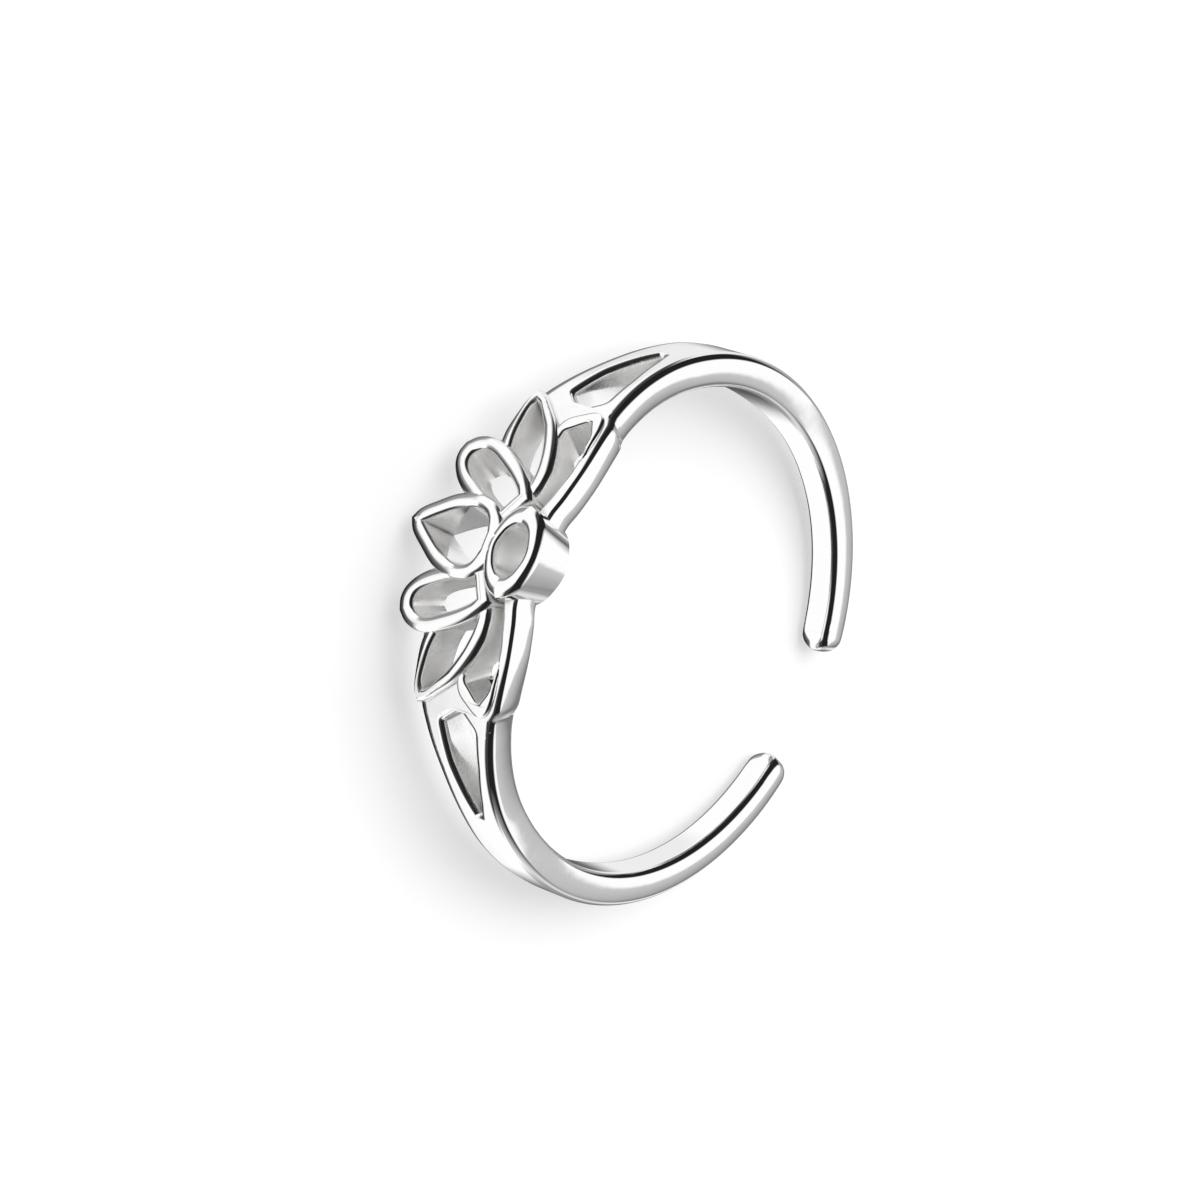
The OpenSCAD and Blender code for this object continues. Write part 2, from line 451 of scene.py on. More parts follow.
@dataclass
class Band:
    """Open band whose shoulders widen into the near rail and the far rail."""

    ring: Ring
    near_rail_h: float = 1.28
    far_rail_h: float = 2.2
    knee_angle: float = 33
    fork_angle: float = 58
    # Radii of the outer edges: near, near beside the lotus, far, and round the ends
    near_round: float = 0.24
    crest_round: float = 0.15
    far_round: float = 0.45
    end_round: float = 0.5
    # Radii of the edges at the toe hole: near, far, and round the ends
    near_back_round: float = 0.2
    far_back_round: float = 0.12
    end_back_round: float = 0.38
    # Radii of the gaps' edges: beside the lotus and at their narrow ends, between the rails, and at the toe hole
    gap_round: float = 0.1
    rail_gap_round: float = 0.22
    back_round: float = 0.04
    # How far before the knee the near edge's radius starts to grow, and over how many degrees it does
    growth: Point = (2, 5)
    # How soon round an end its own radius takes over
    end_blend: float = 1.2
    outline_steps: int = 260
    end_steps: int = 14
    edge_segments: int = 7
    gap_segments: int = 4
    # Reach of the roundings at the gaps' corners, and heights between which the gaps are cut
    gap_corner: float = 0.12
    gap_cut: Point = (-1, 2)
    # The least turn across a gap's edge, in radians, the most that its wall leans, and the share of a normal that
    # lies along y from which a wall counts as a long one
    gap_turn: float = 0.8
    wall_share: float = 0.02
    long_share: float = 0.3
    # Rise of the near side's crown, the steps that it is divided into, and the most that this side leans
    dome: float = 0.08
    dome_steps: int = 8
    dome_share: float = 0.3
    # Height from which the rounded ends belong to the near side, and the slack for its own edge
    end_near: float = 0.24
    near_slack: float = 0.01
    # The raised leaves: rise, rounding of the rim, reach of the corners' curves, and where their blocks start
    leaf_rise: float = 0.12
    leaf_round: float = 0.11
    leaf_corner: float = 0.3
    leaf_low: float = 0.2
    leaf_segments: int = 4
    leaf_steps: int = 8
    # Where a leaf's near arm starts, as a share of near_rail_h, and the share over which it does
    arm: Point = (0.21, 0.3)
    # Where the arm starts to sink, as a share of the knee's angle, the share over which it does, and how deep it
    # goes as a share of leaf_rise
    sink: Point = (0.8, 0.28)
    sink_depth: float = 1.4
    # Rows of angle and share for the two edges
    near_rows: Profile = field(init=False)
    far_rows: Profile = field(init=False)
    # Corners of the gap between the rails: place from knee to fork, height as a share of far_rail_h
    rail_gap: Rows = (
        (0.14, 0.05), (0, -0.2), (0.14, -0.5), (0.5, -0.41), (0.86, -0.25), (1, -0.18), (0.8, -0.08), (0.45, 0.02))
    # Corners of the gap above an outer petal: share of the knee's angle, height as a share of near_rail_h
    side_gap: Rows = (
        (0.36, 0.26), (0.55, 0.02), (0.8, -0.12), (0.91, 0.3), (0.8, 0.6), (0.67, 0.69), (0.54, 0.71),
        (0.38, 0.61), (0.24, 0.45))
    # Corners of the raised leaf round that gap's outer end, in the same shares
    leaf: Rows = (
        (0.72, -0.37), (0.88, -0.34), (1, 0.28), (0.96, 0.58), (0.84, 0.76), (0.66, 0.82), (0.48, 0.83),
        (0.46, 0.6), (0.7, 0.2))

    def __post_init__(self) -> None:
        """Sets the edges' rows."""
        knee = self.knee_angle
        self.near_rows = Profile((
            (0, 0.72), (9, 0.76), (13, 0.92), (18, 1), (22, 0.97), (27, 0.84), (knee - 2, 0.68), (knee, 0.48),
            (40, 0.27), (50, 0.08), (60, 0), (180, 0)))
        self.far_rows = Profile((
            (0, 0.95), (28, 1), (34, 0.96), (40, 0.85), (50, 0.66), (60, 0.57), (70, 0.54), (90, 0.36),
            (110, 0.12), (130, 0.03), (150, 0), (180, 0)))

    def near_edge(self, angle: float) -> float:
        """Returns the height of the near edge at an angle."""
        half = self.ring.band_w / 2
        return half + self.near_rows.at(abs(angle)) * (self.near_rail_h - half)

    def far_edge(self, angle: float) -> float:
        """Returns the height of the far edge at an angle."""
        half = self.ring.band_w / 2
        return -half - self.far_rows.at(abs(angle)) * (self.far_rail_h - half)

    def outline(self) -> list[Vector]:
        """Draws the band.

        Returns:
            The band's outline, anticlockwise from the far edge at the left end.
        """
        left, right = self.ring.ends()
        angles = [left + (right - left) * k / self.outline_steps for k in range(self.outline_steps + 1)]
        far = [self.ring.flat(a, self.far_edge(a)) for a in angles]
        near = [self.ring.flat(a, self.near_edge(a)) for a in reversed(angles)]
        return far + self.round_end(right, Side.RIGHT) + near + self.round_end(left, Side.LEFT)

    def round_end(self, angle: float, side: Side) -> list[Vector]:
        """Draws a rounded end.

        Args:
            angle: where its middle is.
            side: which end.

        Returns:
            The points between the two edges.
        """
        middle, radius = self.ring.flat(angle, 0), self.ring.band_w / 2
        turns = [math.radians(side.value * -90 + 180 * k / self.end_steps) for k in range(1, self.end_steps)]
        return [middle + radius * Vector((math.cos(t), math.sin(t))) for t in turns]

    def gap_outlines(self, side: Side) -> list[list[Vector]]:
        """Draws one side's two gaps.

        Args:
            side: which side of the lotus.

        Returns:
            The corners of the gap between the rails, and of the one beside the lotus.
        """
        knee, reach = self.knee_angle, self.fork_angle - self.knee_angle
        rails = [self.ring.flat(side.value * (knee + p * reach), h * self.far_rail_h) for p, h in self.rail_gap]
        beside = [self.ring.flat(side.value * knee * p, h * self.near_rail_h) for p, h in self.side_gap]
        return [rails, beside]

    def raised_leaf(self, side: Side) -> bmesh.types.BMesh:
        """Builds the raised leaf at one side's knee, before its gap is cut.

        Args:
            side: which side of the lotus.

        Returns:
            The leaf, with its near arm sinking into the near rail.
        """
        corners = [self.ring.flat(side.value * self.knee_angle * p, h * self.near_rail_h) for p, h in self.leaf]
        top = self.ring.band_t + self.leaf_rise
        bm = Flat.prism(rounded(corners, self.leaf_corner, self.leaf_steps), self.leaf_low, top)
        Flat.soften(bm, Flat.rim_edges(bm, top), self.leaf_round, self.leaf_segments)
        self.ring.slice(bm)
        for vert in bm.verts:
            if vert.co.z > self.ring.band_t - self.leaf_round:
                vert.co.z -= self.sink_depth * self.leaf_rise * self.sunk(vert.co)
        return bm

    def sunk(self, place: Vector) -> float:
        """Tells how deep a leaf's near arm sinks.

        Args:
            place: a place on the leaf.

        Returns:
            The share of its full depth there.
        """
        on_arm = clamp((place.y / self.near_rail_h - self.arm[0]) / self.arm[1])
        past = clamp((self.sink[0] - abs(self.ring.angle(place)) / self.knee_angle) / self.sink[1])
        return on_arm * past * past * (3 - 2 * past)

    def build(self) -> bpy.types.Object:
        """Builds the flat band with its rounded edges, its leaves and its gaps.

        Returns:
            The band's object.
        """
        body = Flat.to_object(Flat.prism(self.outline(), 0, self.ring.band_t), "toe_ring_casting")
        self.round_edges(body)
        self.crown(body)
        Flat.combine(body, [self.raised_leaf(side) for side in Side], "UNION")
        outlines = [rounded(corners, self.gap_corner) for side in Side for corners in self.gap_outlines(side)]
        Flat.combine(body, [Flat.prism(outline, *self.gap_cut) for outline in outlines], "DIFFERENCE")
        self.round_gaps(body)
        return body

    def near_rounding(self, angle: float) -> float:
        """Returns the radius of the near outer edge at an angle: it is finer on the crest beside the lotus."""
        share = clamp((abs(angle) - self.knee_angle + self.growth[0]) / self.growth[1])
        return self.crest_round + share * (self.near_round - self.crest_round)

    def rounding(self, middle: Vector) -> float:
        """Returns the radius that an outer edge of the band is rounded to.

        Args:
            middle: the edge's middle, on the outer face or on the wall of the toe hole.

        Returns:
            The radius for the near edge or the far edge, or round an end a mix of them and the end's own.
        """
        near, far, end = self.near_back_round, self.far_back_round, self.end_back_round
        if middle.z > self.ring.band_t / 2:
            near, far, end = self.near_rounding(self.ring.angle(middle)), self.far_round, self.end_round
        left, right = (self.ring.flat(a, 0).x for a in self.ring.ends())
        past = max(left - middle.x, middle.x - right) / (self.ring.band_w / 2)
        if past <= 0:
            return near if middle.y > 0 else far
        side = far + (near - far) * clamp(0.5 + middle.y / self.ring.band_w)
        return side + (end - side) * min(past * self.end_blend, 1)

    def round_edges(self, body: bpy.types.Object) -> None:
        """Rounds the band's outer edges, on the outer face and on the wall of the toe hole.

        Args:
            body: the flat band.
        """
        bm = bmesh.new()
        bm.from_mesh(body.data)
        weight = bm.edges.layers.float.new("bevel_weight_edge")
        for edge in Flat.rim_edges(bm, self.ring.band_t) + Flat.rim_edges(bm, 0):
            edge[weight] = self.rounding((edge.verts[0].co + edge.verts[1].co) / 2) / self.end_round
        bm.to_mesh(body.data)
        bm.free()
        Flat.round_by_weight(body, self.end_round, self.edge_segments)

    def gap_rounding(self, edge: bmesh.types.BMEdge) -> float:
        """Returns the radius that a gap's edge is rounded to.

        Args:
            edge: any edge of the band.

        Returns:
            The radius, or 0 for an edge that stays as it is.
        """
        walls = [face for face in edge.link_faces if abs(face.normal.z) < self.wall_share]
        if len(walls) != 1 or not edge.is_convex or edge.calc_face_angle(0) < self.gap_turn:
            return 0
        place = edge.verts[0].co
        if place.z < self.ring.band_t / 2:
            return self.back_round
        beside_lotus = abs(self.ring.angle(place)) < self.knee_angle
        return self.gap_round if beside_lotus or abs(walls[0].normal.y) < self.long_share else self.rail_gap_round

    def round_gaps(self, body: bpy.types.Object) -> None:
        """Rounds the gaps' edges, in front and at the back.

        Args:
            body: the flat band with its gaps.
        """
        bm = bmesh.new()
        bm.from_mesh(body.data)
        weight = bm.edges.layers.float.get("bevel_weight_edge")
        for edge in bm.edges:
            edge[weight] = self.gap_rounding(edge) / self.end_round
        bm.to_mesh(body.data)
        bm.free()
        Flat.round_by_weight(body, self.end_round, self.gap_segments)

    def crown(self, body: bpy.types.Object) -> None:
        """Crowns the near side, so that it is a shallow dome from the toe hole to the outer face.

        Args:
            body: the flat band.
        """
        bm = bmesh.new()
        bm.from_mesh(body.data)
        half, steps = self.ring.band_t / 2, self.dome_steps
        # The rounded edges take up the last steps at the top and at the bottom
        for level in [half + half * k / steps for k in range(2 - steps, steps - 1)]:
            faces = [
                f for f in bm.faces
                if self.on_near_side(f.calc_center_median()) and abs(f.normal.z) < self.dome_share]
            Flat.cut_across(bm, faces, Vector((0, 0, level)), Vector((0, 0, 1)))
        for vert in bm.verts:
            if self.on_near_side(vert.co) and vert.co.z < self.ring.band_t + TINY:
                off = (vert.co.z - half) / half
                vert.co.y += self.dome * (0.5 - off * off)
        self.ring.slice(bm)
        bm.to_mesh(body.data)
        bm.free()

    def on_near_side(self, place: Vector) -> bool:
        """Tells whether a flat place lies on the near side or on its rounded edges.

        Args:
            place: the place.

        Returns:
            True if it does.
        """
        left, right = (self.ring.flat(a, 0).x for a in self.ring.ends())
        if place.x < left or place.x > right:
            return place.y > self.end_near
        angle = self.ring.angle(place)
        return place.y > self.near_edge(angle) - self.near_rounding(angle) - self.near_slack


@dataclass
class Petal:
    """Petal or bud: a raised rim round a window. Its foot and tip are places of angle and height."""

    ring: Ring
    name: str
    foot: Point
    tip: Point
    width: float
    rise: float
    shape: Profile
    window: Profile
    rim_w: float
    # The angle from which its own flat drawing is seen square on
    facing: float = 0
    # Width of the rim at the foot and at the tip, as shares of rim_w
    foot_inset: float = 1
    tip_inset: float = 1.2
    outer_round: float = 0.29
    window_round: float = 0.16
    outer_segments: int = 5
    window_segments: int = 4
    # Steps of the curves along it, and of the outline that is made from them
    curve_steps: int = 90
    steps: int = 30
    # Heights between which what lies under it is cleared
    cut: Point = (-1, 3)

    @property
    def height(self) -> float:
        """Height of the petal's front above the wall of the hole."""
        return self.ring.band_t + self.rise

    def square_on(self, place: Point) -> Vector:
        """Returns a place of angle and height as the petal's own flat drawing shows it."""
        across = math.sin(math.radians(place[0] - self.facing))
        return Vector(((self.ring.hole_r + self.height) * across, place[1]))

    def outline(self, inset: float, side: Side) -> list[Vector]:
        """Returns the petal's outline, or its window's.

        Args:
            inset: width of the rim outside the window, or 0 for the petal itself.
            side: which side of the lotus.

        Returns:
            Flat points, anticlockwise.
        """
        foot, tip = self.square_on(self.foot), self.square_on(self.tip)
        along = (tip - foot).normalized()
        foot, tip = foot + along * inset * self.foot_inset, tip - along * inset * self.tip_inset
        across = Vector((-along.y, along.x)) * (self.width / 2 - inset)
        rows = self.window if inset else self.shape
        places = [(1 - math.cos(math.pi * k / self.curve_steps)) / 2 for k in range(self.curve_steps + 1)]
        out = []
        for way in (1, -1):
            line = [foot.lerp(tip, p) + across * way * rows.at(p) for p in places]
            line = even_steps(line, self.steps)
            out += line if way > 0 else line[::-1]
        kept = [p for p, q in zip(out, out[1:] + out[:1]) if (p - q).length > TINY]
        radius = self.ring.hole_r + self.height
        return anticlockwise([
            self.ring.flat(side.value * (self.facing + math.degrees(math.asin(p.x / radius))), p.y) for p in kept])

    def opening(self, side: Side) -> bmesh.types.BMesh:
        """Returns the block that clears what lies under this petal, out to the middle of its rim."""
        return Flat.prism(self.outline(self.rim_w / 2, side), *self.cut)

    def rim(self, side: Side) -> bmesh.types.BMesh:
        """Builds the petal's rim, with its front edges rounded.

        Args:
            side: which side of the lotus.

        Returns:
            The rim.
        """
        bm = bmesh.new()
        edges = Flat.loop(bm, self.outline(0, side), 0, False)
        edges += Flat.loop(bm, self.outline(self.rim_w, side), 0, False)
        bmesh.ops.bridge_loops(bm, edges=edges)
        Flat.raise_faces(bm, self.height)
        angle, height = ((a + b) / 2 for a, b in zip(self.foot, self.tip))
        middle = self.ring.flat(side.value * angle, height)
        edges = Flat.rim_edges(bm, self.height)
        inner = [edge for edge in edges if self.faces_window(edge, middle)]
        outer = [edge for edge in edges if edge not in inner]
        Flat.soften(bm, outer, self.outer_round, self.outer_segments)
        inner = [edge for edge in inner if edge.is_valid]
        Flat.soften(bm, inner, self.window_round, self.window_segments)
        return bm

    def faces_window(self, edge: bmesh.types.BMEdge, middle: Vector) -> bool:
        """Tells whether the wall under a front edge faces the window.

        Args:
            edge: the edge.
            middle: the petal's middle.

        Returns:
            True if the wall faces the middle.
        """
        wall = min(edge.link_faces, key=lambda face: abs(face.normal.z))
        outwards = (edge.verts[0].co + edge.verts[1].co) / 2 - middle.to_3d()
        return wall.normal.x * outwards.x + wall.normal.y * outwards.y < 0


@dataclass
class Lotus:
    """Pierced lotus: a bud, a centre petal, and inner and outer side petals."""

    ring: Ring
    # The bud's near end, height of its middle, half length and rise
    bud_h: float = 1.55
    bud_middle: float = 0.65
    bud_reach: float = 1.45
    bud_rise: float = 0.5
    layers: list[tuple[Petal, tuple[Side, ...]]] = field(init=False)

    def __post_init__(self) -> None:
        """Lists the petals from the lowest layer to the bud, each with its sides."""
        both, one = (Side.RIGHT, Side.LEFT), (Side.RIGHT,)
        bud_end = math.degrees(math.asin(self.bud_reach / (self.ring.rail_r + self.bud_rise)))
        outer = Petal(
            self.ring, "outer", foot=(9.5, 0.03 * self.bud_h), tip=(34, -1.97), width=1.96, rise=0.25,
            shape=PETAL, window=PETAL, rim_w=0.48, facing=17)
        inner = Petal(
            self.ring, "inner", foot=(7, 0.16 * self.bud_h), tip=(17.2, -2.8), width=1.88, rise=0.4,
            shape=ROUND_PETAL, window=BLUNT_WINDOW, rim_w=0.5, facing=8.6)
        centre = Petal(
            self.ring, "centre", foot=(0, 0.06 * self.bud_h), tip=(0, -3.26), width=2.62, rise=0.5,
            shape=PETAL, window=WINDOW, rim_w=0.46)
        bud = Petal(
            self.ring, "bud", foot=(-bud_end, self.bud_middle), tip=(bud_end, self.bud_middle), width=1.88,
            rise=self.bud_rise, shape=ALMOND, window=ALMOND, rim_w=0.4, foot_inset=1.6, tip_inset=1.6,
            window_round=0.13)
        self.layers = [(outer, both), (inner, both), (centre, one), (bud, one)]

    def add_to(self, body: bpy.types.Object) -> None:
        """Works the petals into the band, each over the ones below it.

        Args:
            body: the flat band.
        """
        for petal, sides in self.layers:
            Flat.combine(body, [petal.opening(side) for side in sides], "DIFFERENCE")
            Flat.combine(body, [petal.rim(side) for side in sides], "UNION")
            LOG.info("lotus %s petals: %d faces so far", petal.name, len(body.data.polygons))


@dataclass
class Casting:
    """The whole ring as one piece."""

    ring: Ring = field(default_factory=Ring)
    # The angle from which an edge is shaded as sharp
    sharp_angle: float = 40
    # How far up the normal of a level face points at least, and that of an upright one at most
    level_share: float = 0.9999
    upright_share: float = 0.002

    def build(self) -> bpy.types.Object:
        """Builds, bends and smooths the casting.

        Returns:
            The casting's object, in metres and as it rests.
        """
        body = Band(self.ring).build()
        Lotus(self.ring).add_to(body)
        bm = bmesh.new()
        bm.from_mesh(body.data)
        bmesh.ops.remove_doubles(bm, verts=bm.verts[:], dist=TINY)
        self.ring.slice(bm)
        normals = [
            self.ring.bent(self.flat_normal(loop), loop.vert.co) for face in bm.faces for loop in face.loops]
        self.ring.bend(bm)
        for face in bm.faces:
            face.smooth = True
        LOG.info("open edges: %d", sum(len(e.link_faces) != 2 for e in bm.edges))
        bm.to_mesh(body.data)
        bm.free()
        body.data.normals_split_custom_set(normals)
        return body

    def flat_normal(self, loop: bmesh.types.BMLoop) -> Vector:
        """Returns the shading normal at a corner of a flat face.

        Args:
            loop: the face's corner.

        Returns:
            The direction of a level face that meets the corner within sharp_angle. Without one it is the mean of
            the upright faces that do, or else of all that do.
        """
        limit = math.cos(math.radians(self.sharp_angle))
        here = loop.face.normal
        near = [other for other in loop.vert.link_loops if other.face.normal.dot(here) > limit]
        level = [other for other in near if abs(other.face.normal.z) > self.level_share]
        if level:
            return level[0].face.normal.copy()
        upright = [other for other in near if abs(other.face.normal.z) < self.upright_share]
        mean = Vector()
        for other in upright or near:
            mean += other.face.normal * other.calc_angle()
        return mean.normalized() if mean.length > TINY else here.copy()


class NodeGroup:
    """Shader node group being built, with short ways to add its nodes and sockets."""

    def __init__(self, name: str) -> None:
        """Starts an empty group.

        Args:
            name: the group's name.
        """
        self.tree = bpy.data.node_groups.new(name, "ShaderNodeTree")
        self.start = self.tree.nodes.new("NodeGroupInput")
        self.end = self.tree.nodes.new("NodeGroupOutput")

    def takes(self, name: str, kind: str) -> bpy.types.NodeSocket:
        """Adds an input of a kind, such as Float or Vector, and returns the socket to read inside the group."""
        self.tree.interface.new_socket(name, in_out="INPUT", socket_type="NodeSocket" + kind)
        return self.start.outputs[name]

    def gives(self, name: str, kind: str, source: bpy.types.NodeSocket) -> None:
        """Adds an output of a kind and links a socket to it."""
        self.tree.interface.new_socket(name, in_out="OUTPUT", socket_type="NodeSocket" + kind)
        self.tree.links.new(source, self.end.inputs[name])

    def add(self, kind: str, **settings: object) -> bpy.types.Node:
        """Adds a node.

        Args:
            kind: its type.
            settings: its own settings, by name.

        Returns:
            The node.
        """
        node = self.tree.nodes.new(kind)
        for name, value in settings.items():
            setattr(node, name, value)
        return node

    def put(self, value: object, target: bpy.types.NodeSocket) -> None:
        """Links a socket to an input, or sets the input to a value.

        Args:
            value: the socket or the value.
            target: the input.
        """
        if isinstance(value, bpy.types.NodeSocket):
            self.tree.links.new(value, target)
        else:
            target.default_value = value

    def feed(self, node: bpy.types.Node, **inputs: object) -> bpy.types.Node:
        """Links or sets a node's inputs.

        Args:
            node: the node.
            inputs: sockets or values by the input's name, with an underscore for a space.

        Returns:
            The node.
        """
        for name, value in inputs.items():
            self.put(value, node.inputs[name.replace("_", " ")])
        return node

    def reckon(self, operation: str, *values: bpy.types.NodeSocket | float) -> bpy.types.NodeSocket:
        """Adds a step of arithmetic.

        Args:
            operation: its name, such as ADD.
            values: what it works on.

        Returns:
            The result.
        """
        node = self.add("ShaderNodeMath", operation=operation)
        for value, target in zip(values, node.inputs):
            self.put(value, target)
        return node.outputs["Value"]

    def noise(self, place: bpy.types.NodeSocket, scale: float, detail: float) -> bpy.types.NodeSocket:
        """Adds a noise texture and returns its value."""
        return self.feed(self.add("ShaderNodeTexNoise"), Vector=place, Scale=scale, Detail=detail).outputs["Fac"]

    def spread(self, source: bpy.types.NodeSocket, reads: Point, gives: Point) -> bpy.types.NodeSocket:
        """Adds a smooth map from one range to another.

        Args:
            source: the value that is mapped.
            reads: the range that it is read over.
            gives: what its two ends become.

        Returns:
            The mapped value.
        """
        node = self.add("ShaderNodeMapRange", interpolation_type="SMOOTHSTEP")
        self.feed(node, Value=source, From_Min=reads[0], From_Max=reads[1], To_Min=gives[0], To_Max=gives[1])
        return node.outputs["Result"]

    def sheltered(self, reach: bpy.types.NodeSocket, reads: Point) -> bpy.types.NodeSocket:
        """Adds a mask of places that the ring itself shelters.

        Args:
            reach: how near it must be, in metres.
            reads: the openness at which the mask is full, and at which it ends.

        Returns:
            The mask.
        """
        node = self.add("ShaderNodeAmbientOcclusion", samples=8, only_local=True)
        return self.spread(self.feed(node, Distance=reach).outputs["AO"], reads, (1, 0))


@dataclass(frozen=True)
class HandPolish:
    """Look of hand-polished cast silver, which stays white and satin where no wheel reaches."""

    # Scale and detail of the casting's waves, the polish's patches, its lines and the spots that break up the painted
    # crease shade
    waves: Point = (700, 2)
    patches: Point = (320, 3)
    lines: Point = (2600, 6)
    spots: Point = (2200, 4)
    # Which way the lines run, in radians, and how they are drawn out
    line_turn: tuple[float, float, float] = (0.4, 0.3, 0.9)
    line_stretch: tuple[float, float, float] = (1, 14, 5)
    # Noise between which the lines, the patches and the spots of the painted crease shade fade in
    line_fade: Point = (0.56, 0.7)
    patch_fade: Point = (0.35, 0.75)
    spot_fade: Point = (0.3, 0.6)
    # What the patches and the lines add to the roughness, how deep the lines are, and the spots' strength
    patch_haze: Point = (-0.012, 0.03)
    line_haze: float = 0.09
    line_depth: float = -0.05
    spot_strength: Point = (0.55, 1)
    # Openness between which the satin and the painted crease shade end
    satin_ends: Point = (0.45, 0.8)
    crease_ends: Point = (0.2, 0.58)

    def group(self) -> bpy.types.NodeTree:
        """Builds the shader group.

        Returns:
            A group that puts out a mask of painted shade, which darkens the colour in the creases where the ring
            shelters itself and is broken up by noise spots; a roughness with fine polishing lines in it that is satin
            where the polishing wheel doesn't reach, how metallic the surface is, which is less there, and the height
            of the casting's faint waves and lines.
        """
        group = NodeGroup("hand_polish")
        place = group.takes("Place", "Vector")
        polish, strength, crease_reach, window_reach, satin, frost = (
            group.takes(name, "Float")
            for name in ("Roughness", "Lines", "Crease Reach", "Window Reach", "Satin", "Frost"))
        drawn = group.feed(
            group.add("ShaderNodeMapping"), Vector=place, Rotation=self.line_turn, Scale=self.line_stretch)
        scratches = group.spread(group.noise(drawn.outputs["Vector"], *self.lines), self.line_fade, (0, 1))
        scratches = group.reckon("MULTIPLY", scratches, strength)
        soft = group.spread(group.noise(place, *self.patches), self.patch_fade, self.patch_haze)
        worn = group.reckon("MULTIPLY_ADD", scratches, self.line_haze, group.reckon("ADD", polish, soft))
        missed = group.sheltered(window_reach, self.satin_ends)
        metal = group.reckon("SUBTRACT", 1.0, group.reckon("MULTIPLY", missed, frost))
        spots = group.spread(group.noise(place, *self.spots), self.spot_fade, self.spot_strength)
        # Painted shade: ambient occlusion darkens the creases where the ring shelters itself, broken up by noise spots
        painted_shade = group.reckon("MULTIPLY", group.sheltered(crease_reach, self.crease_ends), spots)
        height = group.reckon("MULTIPLY_ADD", scratches, self.line_depth, group.noise(place, *self.waves))
        group.gives("Painted Shade", "Float", painted_shade)
        group.gives("Roughness", "Float", group.reckon("MULTIPLY_ADD", missed, satin, worn))
        group.gives("Metallic", "Float", metal)
        group.gives("Height", "Float", height)
        return group.tree


@dataclass(frozen=True)
class SilverFinish:
    """High-polish sterling silver, with painted shade darkening its creases. Its reaches and wave height are in
    metres.
    """

    colour: tuple[float, float, float] = (0.93, 0.925, 0.91)
    # Dark colour of the painted shade in the creases
    painted_shade: tuple[float, float, float] = (0.2, 0.195, 0.19)
    roughness: float = 0.05
    lines: float = 0.5
    crease_reach: float = 0.0003
    window_reach: float = 0.0012
    satin: float = 0.42
    frost: float = 0.55
    wave_height: float = 0.000006

    def material(self, polish: bpy.types.NodeTree) -> bpy.types.Material:
        """Builds the material.

        Args:
            polish: the hand_polish group.

        Returns:
            The finished material.
        """
        mat = bpy.data.materials.new("polished_silver")
        mat.use_nodes = True
        nodes, join = mat.node_tree.nodes, mat.node_tree.links.new
        shader = nodes["Principled BSDF"]
        group = nodes.new("ShaderNodeGroup")
        group.node_tree = polish
        values = {
            "Roughness": self.roughness, "Lines": self.lines, "Crease Reach": self.crease_reach,
            "Window Reach": self.window_reach, "Satin": self.satin, "Frost": self.frost}
        for name, value in values.items():
            group.inputs[name].default_value = value
        join(nodes.new("ShaderNodeTexCoord").outputs["Object"], group.inputs["Place"])
        # Mixes the painted shade's dark colour into the silver's own colour in the sheltered creases
        mix = nodes.new("ShaderNodeMix")
        mix.data_type = "RGBA"
        mix.inputs["A"].default_value = (*self.colour, 1)
        mix.inputs["B"].default_value = (*self.painted_shade, 1)
        join(group.outputs["Painted Shade"], mix.inputs["Factor"])
        join(mix.outputs["Result"], shader.inputs["Base Color"])
        join(group.outputs["Roughness"], shader.inputs["Roughness"])
        join(group.outputs["Metallic"], shader.inputs["Metallic"])
        bump = nodes.new("ShaderNodeBump")
        bump.inputs["Strength"].default_value = 1
        bump.inputs["Distance"].default_value = self.wave_height
        join(group.outputs["Height"], bump.inputs["Height"])
        join(bump.outputs["Normal"], shader.inputs["Normal"])
        return mat


@dataclass(frozen=True)
class FloorFinish:
    """Plain pale floor, which glows a little as a lit backdrop does."""

    tone: float = 0.5
    roughness: float = 0.9
    glow: float = 0.53

    def material(self) -> bpy.types.Material:
        """Builds the material.

        Returns:
            The finished material.
        """
        mat = bpy.data.materials.new("pale_floor")
        mat.use_nodes = True
        inputs = mat.node_tree.nodes["Principled BSDF"].inputs
        inputs["Base Color"].default_value = (self.tone, self.tone, self.tone, 1)
        inputs["Roughness"].default_value = self.roughness
        inputs["Emission Color"].default_value = (1, 1, 1, 1)
        inputs["Emission Strength"].default_value = self.glow
        return mat


